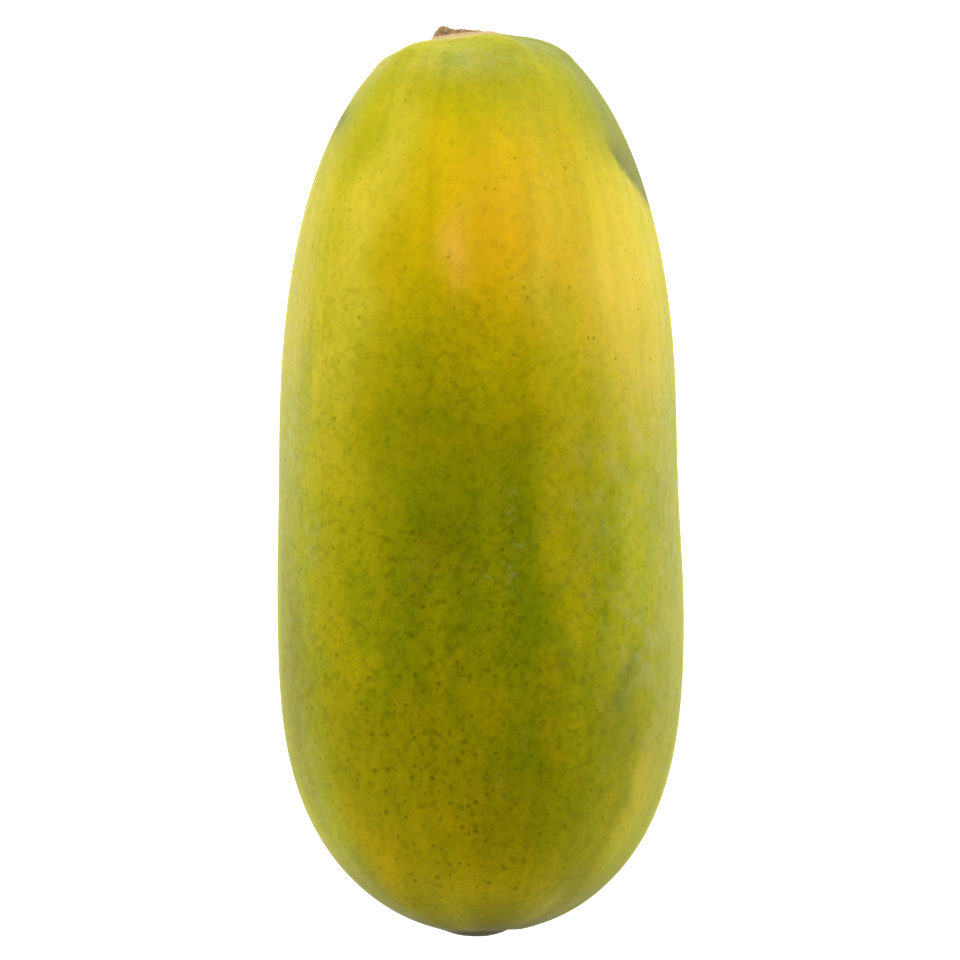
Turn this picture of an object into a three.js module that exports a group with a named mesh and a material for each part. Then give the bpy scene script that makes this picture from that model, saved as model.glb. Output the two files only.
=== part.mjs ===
// A large papaya as picked, lying on its side on a small flat spot, with the dry stub of its stalk.
// Millimetres, +Z up. The fruit's length runs along Y, with the stalk at +Y and the blossom end at -Y,
// and the origin is the middle of the flat spot, straight below the fruit's weight.
import * as THREE from "three";

// The skin's profile in the fruit's own frame: Y is the distance from the blossom tip.
const BELLY_RADIUS = 62.2;
const BELLY_AT = 93.8;
const BLOSSOM_ROUNDNESS = { along: 2.7, across: 2.03 };
const STEM_TAPER = 191.6; // from the belly to where the taper would close if the shoulder didn't cut it off
const STEM_ROUNDNESS = { along: 3.7, across: 1.74 };
const SHOULDER_AT = 268.6;
const SWELL = { height: 0.9, at: 103, spread: 27 }; // the belly stands a little proud of the plain curve

// The domed shoulder, as a Bezier curve from the taper to the rim of the stalk's seat.
const SHOULDER_HANDLE = { radius: 27.2, at: 273.2 };
const RIM_HANDLE = { radius: 20, at: 275.5 };
const SEAT = { radius: 12.5, at: 275.8, depth: 1 };

// Five lobes, one for each chamber of the ovary. The angles run from +Z towards +X.
const LOBES = 5;
const LOBE_ANGLE = THREE.MathUtils.degToRad(25);
const LOBE_LAG = THREE.MathUtils.degToRad(32); // the lobes aren't even: the lower ones sit further round
const LOBE_HEIGHT = { body: 1.05, stem: 1.7 };
const LOBE_EDGE = 0.22; // share of the second harmonic, which makes a ridge sharper than a valley
// The valleys between the lobes deepen over the shoulder, between these radii, and are gone at the stalk.
const GROOVE = { depth: 2.2, from: 21, fade: 24, to: 38 };
const DEPTH_SHARE = 0.97; // the fruit is a little flatter than it is wide

// One flank is flat halfway along, where the fruit hung against its neighbour.
const FLANK = { angle: THREE.MathUtils.degToRad(92), at: 144, depth: 2.5, along: 42, around: 0.6 };

// Slow waves that keep the skin from being a perfect turned form: turns round, length, height, phase.
const WAVES = [
  { turns: 2, length: 240, height: 0.42, phase: 0.6 },
  { turns: 3, length: -170, height: 0.3, phase: 2.1 },
  { turns: 4, length: 107, height: 0.2, phase: -1.2 },
];

// The stalk grew a little off the axis and leans.
const STALK_SHIFT = -4.6;
const STALK_LEAN = THREE.MathUtils.degToRad(5.4);
const BODY_SHIFT = -1.5; // of the taper's top, towards -X
const SHOULDER_RADIUS = 31; // the relief fades from here to the stalk and to the blossom tip
const LEANING = { radius: 40, from: 256.6 }; // inside this radius and past this length, the skin leans too

// The blossom end closes in a low button beside a short crease.
const BUTTON = { shift: -2.3, radius: 7.4, height: 0.85 };
const CREASE = { radius: 11.5, spread: 1.8, depth: 0.7 };

// The stub of the stalk: a smooth foot, a ragged dry rim and a shallow pith hollow.
const STUB = { foot: 11.9, collar: 11.6, neck: 10.2, rim: 9.5, lip: 8.35, pith: 7.2 };
const STUB_HEIGHT = { collar: 1, neck: 1.7, rim: 2.6, lip: 2.3, pith: 1.6, middle: 1.2 };
const FLUTING = 0.03; // share of the radius by which the torn rim draws in between the lobes
const RAGGED = { peak: 1.3, peakAngle: THREE.MathUtils.degToRad(-40), peakSpread: 0.4, slope: 0.11 };
const TEARS = [
  { turns: 5, phase: 0.7, height: 0.25 },
  { turns: 9, phase: 2.2, height: 0.15 },
];
const GAP = 0.3; // between the stub and its seat

// How the fruit lies: tipped so that the skin under its weight is level, and pressed flat there.
const BALANCE_AT = 134.2;
const TIP = THREE.MathUtils.degToRad(-1.8);
const PRESSED = 0.6;

const AROUND = 80;
const BLOSSOM_STEPS = 20;
const STEM_STEPS = 18;
const SHOULDER_STEPS = 9;
const STUB_AROUND = 40;

const { smoothstep } = THREE.MathUtils;

// Half the width of a superellipse end, at a share of its length from the belly.
function endRadius(share, roundness) {
  return BELLY_RADIUS * Math.pow(1 - Math.pow(share, roundness.along), 1 / roundness.across);
}

function swell(at) {
  return SWELL.height * Math.exp(-(((at - SWELL.at) / SWELL.spread) ** 2));
}

// Shares from 0 to 1 that crowd together towards 1, where the ends curve the most.
function crowded(step, steps) {
  const even = step / steps;
  return even * (2 - even);
}

function fruitProfile() {
  const points = [new THREE.Vector2(0, 0)];
  for (let i = BLOSSOM_STEPS - 1; i >= 0; i--) {
    const share = crowded(i, BLOSSOM_STEPS);
    const at = BELLY_AT * (1 - share);
    points.push(new THREE.Vector2(endRadius(share, BLOSSOM_ROUNDNESS) + swell(at), at));
  }
  const taperShare = (SHOULDER_AT - BELLY_AT) / STEM_TAPER;
  for (let i = 1; i <= STEM_STEPS; i++) {
    const share = taperShare * crowded(i, STEM_STEPS);
    const at = BELLY_AT + STEM_TAPER * share;
    points.push(new THREE.Vector2(endRadius(share, STEM_ROUNDNESS) + swell(at), at));
  }
  const shoulder = new THREE.CubicBezierCurve(
    points[points.length - 1],
    new THREE.Vector2(SHOULDER_HANDLE.radius, SHOULDER_HANDLE.at),
    new THREE.Vector2(RIM_HANDLE.radius, RIM_HANDLE.at),
    new THREE.Vector2(SEAT.radius, SEAT.at),
  );
  points.push(...shoulder.getPoints(SHOULDER_STEPS).slice(1));
  points.push(new THREE.Vector2(SEAT.radius, SEAT.at - SEAT.depth));
  points.push(new THREE.Vector2(0, SEAT.at - SEAT.depth));
  return points;
}

// 1 on the crest of a lobe, falling below 0 in the valleys.
function lobeWave(angle) {
  const turned = LOBES * (angle - LOBE_ANGLE) - LOBE_LAG * (0.5 - 0.5 * Math.cos(angle - LOBE_ANGLE));
  return (Math.cos(turned) + LOBE_EDGE * Math.cos(2 * turned)) / (1 + LOBE_EDGE);
}

function flatFlank(angle, at) {
  const along = (at - FLANK.at) / FLANK.along;
  const around = Math.sin((angle - FLANK.angle) / 2) * 2 / FLANK.around;
  return FLANK.depth * Math.exp(-(along ** 2) - around ** 2);
}

// How far the skin stands out from the turned form, along the radius.
function relief(angle, radius, at) {
  const fade = smoothstep(radius, at > BELLY_AT ? SEAT.radius : 0, SHOULDER_RADIUS);
  const towardsStem = smoothstep(at, BELLY_AT, SHOULDER_AT);
  const lobe = THREE.MathUtils.lerp(LOBE_HEIGHT.body, LOBE_HEIGHT.stem, towardsStem) * lobeWave(angle);
  const waves = WAVES.reduce(
    (sum, w) => sum + w.height * Math.sin(w.turns * angle + (2 * Math.PI * at) / w.length + w.phase),
    0,
  );
  return fade * (lobe + waves - flatFlank(angle, at));
}

// How far the skin drops along the axis where a valley between two lobes crosses the shoulder.
function groove(angle, radius) {
  const band = smoothstep(radius, SEAT.radius, GROOVE.from) * (1 - smoothstep(radius, GROOVE.fade, GROOVE.to));
  return (GROOVE.depth * band * (1 - lobeWave(angle))) / 2;
}

// The blossom end's button pushes out towards -Y, and the crease beside it cuts in.
function blossomEnd(x, z) {
  const away = Math.hypot(x - BUTTON.shift, z);
  const button = BUTTON.height * Math.exp(-((away / BUTTON.radius) ** 4));
  const side = Math.max(0, Math.sin(Math.atan2(x - BUTTON.shift, z)));
  const crease = CREASE.depth * Math.exp(-(((away - CREASE.radius) / CREASE.spread) ** 2)) * side;
  return crease - button;
}

function eachVertex(geometry, change) {
  const position = geometry.getAttribute("position");
  const point = new THREE.Vector3();
  for (let i = 0; i < position.count; i++) {
    change(point.fromBufferAttribute(position, i));
    position.setXYZ(i, point.x, point.y, point.z);
  }
  geometry.computeVertexNormals();
  return geometry;
}

// Turns the plain turned form into the grown one, in the fruit's own frame.
function growSkin(point) {
  const angle = Math.atan2(point.x, point.z);
  const radius = Math.hypot(point.x, point.z);
  const at = point.y;
  const grown = radius + relief(angle, radius, at);
  const nearStalk = at > LEANING.from ? 1 - smoothstep(radius, SEAT.radius, LEANING.radius) : 0;
  const shift = BODY_SHIFT * smoothstep(at, BELLY_AT, SHOULDER_AT);
  point.x = grown * Math.sin(angle) + THREE.MathUtils.lerp(shift, STALK_SHIFT, nearStalk);
  point.z = grown * Math.cos(angle) * DEPTH_SHARE;
  point.y = at + nearStalk * Math.tan(STALK_LEAN) * (point.x - STALK_SHIFT);
  if (at > BELLY_AT) point.y -= groove(angle, radius);
  else point.y += blossomEnd(point.x, point.z) * (1 - smoothstep(at, 0, SEAT.radius));
}

function makeFruit(table) {
  const geometry = eachVertex(new THREE.LatheGeometry(fruitProfile(), AROUND), (point) => {
    growSkin(point);
    const below = table.distanceToPoint(point);
    if (below < 0) point.addScaledVector(table.normal, -below);
  });
  const skin = new THREE.MeshStandardMaterial({ color: "#a8a112", roughness: 0.45, metalness: 0 });
  const fruit = new THREE.Mesh(geometry, skin);
  fruit.name = "fruit";
  return fruit;
}

// The torn top: it slopes down towards +X, with one tall splinter and smaller tears all round.
function raggedTop(angle, radius) {
  let turn = angle - RAGGED.peakAngle;
  turn = Math.atan2(Math.sin(turn), Math.cos(turn));
  const splinter = RAGGED.peak * Math.exp(-((turn / RAGGED.peakSpread) ** 2));
  const tears = TEARS.reduce((sum, tear) => sum + tear.height * Math.sin(tear.turns * angle + tear.phase), 0);
  return splinter + tears - RAGGED.slope * radius * Math.sin(angle);
}

function makeStub() {
  const profile = [
    new THREE.Vector2(0, 0),
    new THREE.Vector2(STUB.foot, 0),
    new THREE.Vector2(STUB.collar, STUB_HEIGHT.collar),
    new THREE.Vector2(STUB.neck, STUB_HEIGHT.neck),
    new THREE.Vector2(STUB.rim, STUB_HEIGHT.rim),
    new THREE.Vector2(STUB.lip, STUB_HEIGHT.lip),
    new THREE.Vector2(STUB.pith, STUB_HEIGHT.pith),
    new THREE.Vector2(STUB.pith / 2, STUB_HEIGHT.middle),
    new THREE.Vector2(0, STUB_HEIGHT.middle),
  ];
  const geometry = eachVertex(new THREE.LatheGeometry(profile, STUB_AROUND), (point) => {
    const angle = Math.atan2(point.x, point.z);
    const radius = Math.hypot(point.x, point.z);
    const torn = smoothstep(point.y, STUB_HEIGHT.neck, STUB_HEIGHT.rim) * smoothstep(radius, 0, STUB.pith);
    point.y += torn * raggedTop(angle, radius);
    const fluted = 1 - FLUTING * torn * (1 - Math.cos(LOBES * (angle - LOBE_ANGLE)));
    point.x *= fluted;
    point.z *= fluted;
  });
  const wood = new THREE.MeshStandardMaterial({ color: "#8a6a3c", roughness: 0.85, metalness: 0 });
  const stub = new THREE.Mesh(geometry, wood);
  stub.name = "stalk_stub";
  stub.position.set(STALK_SHIFT, SEAT.at - SEAT.depth + GAP, 0);
  stub.rotation.z = STALK_LEAN;
  return stub;
}

// The radius below the weight sets how high the axis lies above the table.
function lay(papaya) {
  const share = (BALANCE_AT - BELLY_AT) / STEM_TAPER;
  const below = (endRadius(share, STEM_ROUNDNESS) + swell(BALANCE_AT)) * DEPTH_SHARE;
  papaya.rotation.x = TIP;
  papaya.position.set(0, -BALANCE_AT * Math.cos(TIP), below - PRESSED - BALANCE_AT * Math.sin(TIP));
  papaya.updateMatrixWorld(true);
}

const papaya = new THREE.Group();
papaya.name = "papaya";
lay(papaya);
const table = new THREE.Plane(new THREE.Vector3(0, 0, 1), 0).applyMatrix4(papaya.matrixWorld.clone().invert());
papaya.add(makeFruit(table), makeStub());

export default papaya;
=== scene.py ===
# %% [markdown]
# # A papaya on a white table
#
# A papaya is one smooth, heavy fruit with five faint lobes, a dimpled shoulder and the torn stub of its
# stalk. Nearly everything that the eye enjoys is on its skin: patches of unripe green, yellow and orange
# that run into each other, dark pores, a pale waxy bloom and a few scuffs. The skin's colour also holds
# painted shade at the blossom end and on the +X shoulder, and painted sheen on the flanks. So the shape here
# is a formula worked out on a grid, and most of the lesson is about colour.
#
# The first step loads the solid model of the fruit as a fixed frame. Everything else is built over it.

# %% Load the frame
import math

import bpy
import numpy as np
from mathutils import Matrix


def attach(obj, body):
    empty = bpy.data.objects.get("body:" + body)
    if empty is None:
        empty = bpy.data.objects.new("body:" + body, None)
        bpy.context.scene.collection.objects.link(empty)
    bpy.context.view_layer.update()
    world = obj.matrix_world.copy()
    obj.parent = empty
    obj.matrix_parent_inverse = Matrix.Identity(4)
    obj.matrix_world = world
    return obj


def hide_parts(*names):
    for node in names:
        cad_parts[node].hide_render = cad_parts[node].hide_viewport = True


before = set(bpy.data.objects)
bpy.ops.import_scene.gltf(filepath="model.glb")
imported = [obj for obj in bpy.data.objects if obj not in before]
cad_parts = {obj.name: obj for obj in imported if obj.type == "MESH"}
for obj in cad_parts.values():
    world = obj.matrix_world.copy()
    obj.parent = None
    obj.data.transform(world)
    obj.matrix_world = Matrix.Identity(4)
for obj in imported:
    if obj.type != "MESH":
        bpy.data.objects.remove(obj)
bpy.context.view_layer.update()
MM = 0.001

# %% [markdown]
# ## Helpers
#
# Colours are easiest to choose as the hex values that any picture editor shows. Blender mixes light in
# linear values, so one function turns the first into the second. Another adds a shader node with its
# settings and links in one call, which keeps a node tree readable as text. The third puts whole numpy arrays
# into a mesh, and the fourth lists the faces between rings of points. The last is a soft step, used wherever
# one thing fades into another.

# %% Helpers
def linear(hex_colour):
    """Linear red, green, blue and alpha of an sRGB hex colour, by the sRGB curve."""
    shown = np.array([int(hex_colour[i:i + 2], 16) for i in (1, 3, 5)]) / 255
    light = np.where(shown <= 0.04045, shown / 12.92, ((shown + 0.055) / 1.055) ** 2.4)
    return (*light.tolist(), 1.0)


def add_node(tree, kind, inputs=None, links=None, **settings):
    """Adds one node, sets its properties and its sockets' values, and links its sockets to outputs."""
    node = tree.nodes.new(kind)
    for name, value in settings.items():
        setattr(node, name, value)
    for name, value in (inputs or {}).items():
        node.inputs[name].default_value = value
    for name, output in (links or {}).items():
        tree.links.new(output, node.inputs[name])
    return node


def add_mesh(name, points, faces, material, **attributes):
    """Makes a smooth mesh object. An attribute of 1, 3 or 4 values a point is a number, vector or colour."""
    mesh = bpy.data.meshes.new(name)
    mesh.from_pydata(points.tolist(), [], faces)
    mesh.polygons.foreach_set("use_smooth", np.ones(len(mesh.polygons), bool))
    kinds = {1: ("FLOAT", "value"), 3: ("FLOAT_VECTOR", "vector"), 4: ("FLOAT_COLOR", "color")}
    for label, values in attributes.items():
        kind, field = kinds[values.reshape(len(points), -1).shape[1]]
        layer = mesh.attributes.new(label, kind, "POINT")
        layer.data.foreach_set(field, values.astype(np.float32).ravel())
    mesh.materials.append(material)
    mesh.update()
    made = bpy.data.objects.new(name, mesh)
    bpy.context.scene.collection.objects.link(made)
    print(name, "has", len(points), "points and", len(mesh.polygons), "faces")
    return made


def closed_faces(rings, around):
    """Faces of a form that closes in one point at each end, with rings of points between.

    The points are the first end, then ring after ring, then the last end.
    """
    step = np.arange(around)
    after = (step + 1) % around
    ring = 1 + around * np.arange(rings - 1)[:, None]
    walls = np.stack([ring + step, ring + after, ring + around + after, ring + around + step], axis=-1)
    last = 1 + around * (rings - 1)
    first_cap = np.stack([np.zeros_like(step), 1 + after, 1 + step], axis=-1)
    last_cap = np.stack([last + step, last + after, np.full_like(step, last + around)], axis=-1)
    return walls.reshape(-1, 4).tolist() + first_cap.tolist() + last_cap.tolist()


def smooth(value, low, high):
    """0 below low, 1 above high, and the curve 3s^2 - 2s^3 between."""
    share = np.clip((value - low) / (high - low), 0, 1)
    return share * share * (3 - 2 * share)


print("white paper is", linear("#ffffff"), "and a mid grey is", linear("#808080"))

# %% [markdown]
# ## The form of the fruit
#
# A papaya grows round its axis, so its form starts as a profile turned about that axis: one rounded curve
# from the blossom tip to the belly, a long taper from there to the shoulder, and a dome that dips into the
# seat of the stalk. A sculpted mesh would do as well, but a formula keeps the fruit exactly where the solid
# model is. Here the profile is worked out with many more steps than the solid has, so that no facet shows.

# %% The profile
# Millimetres, with places measured from the blossom tip. A roundness is the two powers of its curve.
BELLY_RADIUS = 62.2
BELLY_AT = 93.8
BLOSSOM_ROUNDNESS = (2.7, 2.03)
STEM_TAPER = 191.6
STEM_ROUNDNESS = (3.7, 1.74)
SWELL_HEIGHT = 0.9
SWELL_AT = 103
SWELL_REACH = 27
SHOULDER_AT = 268.6
SHOULDER_HANDLE = (27.2, 273.2)
RIM_HANDLE = (20, 275.5)
SEAT_RADIUS = 12.5
SEAT_AT = 275.8
SEAT_DEPTH = 1
SEAT_FLOOR_AT = SEAT_AT - SEAT_DEPTH
BLOSSOM_STEPS = 76
TAPER_STEPS = 96
DOME_STEPS = 34


def end_radius(share, roundness):
    """Half the width of a superellipse: the belly's, times (1 - share^along)^(1/across)."""
    along, across = roundness
    return BELLY_RADIUS * (1 - share ** along) ** (1 / across)


def swell(at):
    """The belly's extra fullness, a bell curve exp(-d^2) along the length."""
    return SWELL_HEIGHT * np.exp(-(((at - SWELL_AT) / SWELL_REACH) ** 2))


def crowded(count):
    """Shares from 0 to 1 that lie closer together towards 1, where a profile curves most: s(2 - s)."""
    even = np.linspace(0, 1, count)
    return even * (2 - even)


def dome(first_radius):
    """Points of the Bezier curve from the end of the taper, which is left out, to the rim of the seat."""
    corners = [(first_radius, SHOULDER_AT), SHOULDER_HANDLE, RIM_HANDLE, (SEAT_RADIUS, SEAT_AT)]
    t = np.linspace(0, 1, DOME_STEPS)[1:, None]
    weights = np.hstack([(1 - t) ** 3, 3 * t * (1 - t) ** 2, 3 * t ** 2 * (1 - t), t ** 3])
    return weights @ np.array(corners)


def fruit_profile():
    """Radius and distance from the blossom tip of each ring, from the tip to the middle of the seat."""
    blossom = crowded(BLOSSOM_STEPS)[::-1][1:]
    taper = crowded(TAPER_STEPS)[1:] * (SHOULDER_AT - BELLY_AT) / STEM_TAPER
    at = np.concatenate([BELLY_AT * (1 - blossom), BELLY_AT + STEM_TAPER * taper])
    radius = np.concatenate([end_radius(blossom, BLOSSOM_ROUNDNESS), end_radius(taper, STEM_ROUNDNESS)])
    radius = radius + swell(at)
    seat = np.array([(SEAT_RADIUS, SEAT_FLOOR_AT), (SEAT_RADIUS / 2, SEAT_FLOOR_AT)])
    rings = np.vstack([np.stack([radius, at], axis=1), dome(radius[-1]), seat])
    return rings[:, 0], rings[:, 1]


ring_radius, ring_at = fruit_profile()
print("the profile has", len(ring_radius), "rings and its widest is", round(2 * ring_radius.max(), 1), "mm")

# %% [markdown]
# ## Lobes and waves
#
# Five lobes run along the fruit, one for each chamber inside. They hardly show on the belly and turn into
# ridges at the shoulder. One flank is flatter than the other, and slow waves pass over everything. They could
# be sculpted by hand, but each is simple enough to be a small sum added to the radius, as whole arrays.

# %% Lobes and waves
LOBES = 5
LOBE_ANGLE = math.radians(25)
LOBE_LAG = math.radians(32)
LOBE_EDGE = 0.22
# Millimetres at the belly and at the shoulder.
LOBE_HEIGHT = (1.05, 1.7)
# The lobes and waves fade in from the two ends to this radius, in mm.
FULL_RELIEF_RADIUS = 31
# Each wave: how often it turns round the fruit, its length along it in mm, its height in mm and its phase.
WAVES = [(2, 240, 0.42, 0.6), (3, -170, 0.3, 2.1), (4, 107, 0.2, -1.2)]
# The flat flank: its angle from the top, its spread round the fruit in radians, and the rest in mm.
FLAT_ANGLE = math.radians(92)
FLAT_SPREAD = 0.6
FLAT_AT = 144
FLAT_REACH = 42
FLAT_DEPTH = 2.5


def lobe_wave(angle):
    """1 on a lobe and below 0 in a valley: a cosine of five times the angle, with a share of its double."""
    turned = LOBES * (angle - LOBE_ANGLE) - LOBE_LAG * (0.5 - 0.5 * np.cos(angle - LOBE_ANGLE))
    return (np.cos(turned) + LOBE_EDGE * np.cos(2 * turned)) / (1 + LOBE_EDGE)


def flat_flank(angle, at):
    """A shallow bell, exp(-d^2), of missing skin on the flank, halfway along."""
    around = 2 * np.sin((angle - FLAT_ANGLE) / 2) / FLAT_SPREAD
    return FLAT_DEPTH * np.exp(-(((at - FLAT_AT) / FLAT_REACH) ** 2) - around ** 2)


def relief(angle, radius, at):
    """How far the skin stands out from the turned form: lobes and waves, less the flat flank."""
    fade = smooth(radius, np.where(at > BELLY_AT, SEAT_RADIUS, 0), FULL_RELIEF_RADIUS)
    low, high = LOBE_HEIGHT
    lobe = (low + (high - low) * smooth(at, BELLY_AT, SHOULDER_AT)) * lobe_wave(angle)
    waves = sum(height * np.sin(turns * angle + 2 * np.pi * at / length + phase)
                for turns, length, height, phase in WAVES)
    return fade * (lobe + waves - flat_flank(angle, at))


print("a lobe stands", LOBE_HEIGHT[0], "mm proud at the belly and", LOBE_HEIGHT[1], "mm at the shoulder")

# %% [markdown]
# ## The two ends
#
# At the shoulder the valleys between the lobes sink into dimples. The stalk sits a little off the axis and
# leans, and it pulls the skin round it along. At the other end the withered flower leaves a low button with
# a crease on one side. These are sums too, but they are added to the length or to the sideways place.

# %% The two ends
# The fruit's height, as a share of its width.
DEPTH_SHARE = 0.97
# Radii in mm: the grooves are full between the first two and have run out at the third.
GROOVE_BAND = (21, 24, 38)
GROOVE_DEPTH = 2.2
# Shifts towards +X, radii and places, all in mm.
STALK_SHIFT = -4.6
STALK_LEAN = math.radians(5.4)
PULLED_FROM = SHOULDER_AT - 12
PULLED_RADIUS = 40
BODY_SHIFT = -1.5
BUTTON_SHIFT = -2.3
BUTTON_HEIGHT = 0.85
BUTTON_RADIUS = 7.4
CREASE_DEPTH = 0.7
CREASE_RADIUS = 11.5
CREASE_WIDTH = 1.8
TIP_REACH = 12.5


def groove(angle, radius):
    """How far the valleys sink where they cross the shoulder: a band of radii times the valley's share."""
    starts, full, ends = GROOVE_BAND
    band = smooth(radius, SEAT_RADIUS, starts) * (1 - smooth(radius, full, ends))
    return GROOVE_DEPTH * band * (1 - lobe_wave(angle)) / 2


def blossom_end(x, z):
    """A crease round one side of the tip, a bell curve of the radius, less a low button, exp(-r^4)."""
    away = np.hypot(x - BUTTON_SHIFT, z)
    side = np.maximum(0, np.sin(np.arctan2(x - BUTTON_SHIFT, z)))
    crease = CREASE_DEPTH * np.exp(-(((away - CREASE_RADIUS) / CREASE_WIDTH) ** 2)) * side
    return crease - BUTTON_HEIGHT * np.exp(-((away / BUTTON_RADIUS) ** 4))


def grow(angle, radius, at):
    """Points of the skin in the fruit's own frame, Y along its length and Z up, in millimetres.

    The radius with its relief goes to X by the sine of the angle and to Z by the cosine. Near the stalk X is
    shifted and Y follows the lean, and Y also takes the grooves and the blossom end's form.
    """
    grown = radius + relief(angle, radius, at)
    near_stalk = np.where(at > PULLED_FROM, 1 - smooth(radius, SEAT_RADIUS, PULLED_RADIUS), 0)
    shift = BODY_SHIFT * smooth(at, BELLY_AT, SHOULDER_AT)
    x = grown * np.sin(angle) + shift + (STALK_SHIFT - shift) * near_stalk
    z = grown * np.cos(angle) * DEPTH_SHARE
    y = at + near_stalk * math.tan(STALK_LEAN) * (x - STALK_SHIFT)
    tip = blossom_end(x, z) * (1 - smooth(at, 0, TIP_REACH))
    return np.stack([x, y + np.where(at > BELLY_AT, -groove(angle, radius), tip), z], axis=-1)


blossom_tip = grow(np.zeros(1), np.zeros(1), np.zeros(1))
seat_middle = grow(np.zeros(1), np.zeros(1), np.full(1, SEAT_FLOOR_AT))
print("the stalk's seat, mm:", seat_middle[0].round(1), "- the blossom tip, mm:", blossom_tip[0].round(1))

# %% [markdown]
# ## How it lies
#
# A heavy fruit settles on the spot under its weight, and its skin gives a little there. A simulation could
# find that, but the weight's place is known from the solid model. So the whole form is tilted until this spot
# is level, and whatever would pass through the table is pressed flat on it.

# %% Lay the fruit on the table
BALANCE_AT = 134.2
TILT = math.radians(-1.8)
PRESSED = 0.6
AROUND = 320


def lay(points):
    """Turns points about X by the tilt, lifts them to the table and moves the weight to Y = 0, in mm."""
    share = (BALANCE_AT - BELLY_AT) / STEM_TAPER
    below = (end_radius(share, STEM_ROUNDNESS) + swell(BALANCE_AT)) * DEPTH_SHARE
    x, y, z = points[..., 0], points[..., 1], points[..., 2]
    turned_y = (y - BALANCE_AT) * math.cos(TILT) - z * math.sin(TILT)
    turned_z = (y - BALANCE_AT) * math.sin(TILT) + z * math.cos(TILT) + below - PRESSED
    return np.stack([x, turned_y, np.maximum(turned_z, 0)], axis=-1)


angles = np.arange(AROUND) / AROUND * 2 * np.pi
angle_grid, radius_grid = np.meshgrid(angles, ring_radius)
at_grid = np.repeat(ring_at[:, None], AROUND, axis=1)
walls = grow(angle_grid, radius_grid, at_grid).reshape(-1, 3)
skin_points = lay(np.vstack([blossom_tip, walls, seat_middle]))
print("the skin spans, mm:", np.ptp(skin_points, axis=0).round(1))

# %% [markdown]
# ## The palette
#
# Ripening starts in spots and spreads, so a papaya's colours lie in soft patches with no borders. They could
# come from noise alone, but noise has no plan: a real fruit is orange where the sun reached it and green
# where it lay in shade. So the patches are painted from a small palette. First comes one base for the
# crown and one for the flanks, each a row of paints along the fruit.

# %% The palette and the two bases
PALETTE = {
    "straw": "#f3e044",
    "butter": "#efd04a",
    "peach": "#f6c242",
    "lemon": "#c6b504",
    "gold": "#e6c002",
    "amber": "#f4bd00",
    "lime": "#cebf12",
    "pear": "#b8b50e",
    "fern": "#a7a506",
    "ochre": "#bca900",
    "mustard": "#a59b00",
    "olive": "#949500",
    "leaf": "#788a00",
    "cap": "#a8a410",
    "moss": "#847e02",
    "shade": "#8e8d18",
    "sage": "#848b2d",
    "bruise": "#7a7c29",
    "tan": "#cdb872",
    # Partly the blossom tip's own dark olive, partly painted shade on that end.
    "tip_olive_and_shade": "#2f2c08",
    "scar": "#4d4020",
}

# The bases run along the fruit, from the blossom end to the stalk: where each is, in mm, and its paint.
# At the blossom end both bases end in the darkest paint: partly the tip's own dark olive, partly painted
# shade.
CROWN = [(-135, "tip_olive_and_shade"), (-129, "moss"), (-118, "ochre"), (-92, "ochre"), (-62, "mustard"),
         (-38, "olive"), (-6, "olive"), (24, "mustard"), (47, "lemon"), (68, "gold"), (98, "gold"),
         (117, "lemon"), (132, "cap")]
FLANKS = [(-135, "tip_olive_and_shade"), (-127, "moss"), (-100, "pear"), (-68, "fern"), (-35, "pear"), (25, "pear"),
          (55, "lime"), (90, "lime"), (114, "fern"), (132, "cap")]
# The crown's base gives way to the flanks' between these angles from the top, in degrees.
CROWN_EDGE = (10, 56)


def base_colour(base, along):
    """The base's paints, blended from place to place along the fruit."""
    places = [place for place, _ in base]
    paints = np.array([linear(PALETTE[paint])[:3] for _, paint in base])
    return np.stack([np.interp(along, places, paints[:, i]) for i in range(3)], axis=-1)


print("paints:", len(PALETTE), "- the crown's middle, linear:", base_colour(CROWN, 0).round(3))
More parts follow.
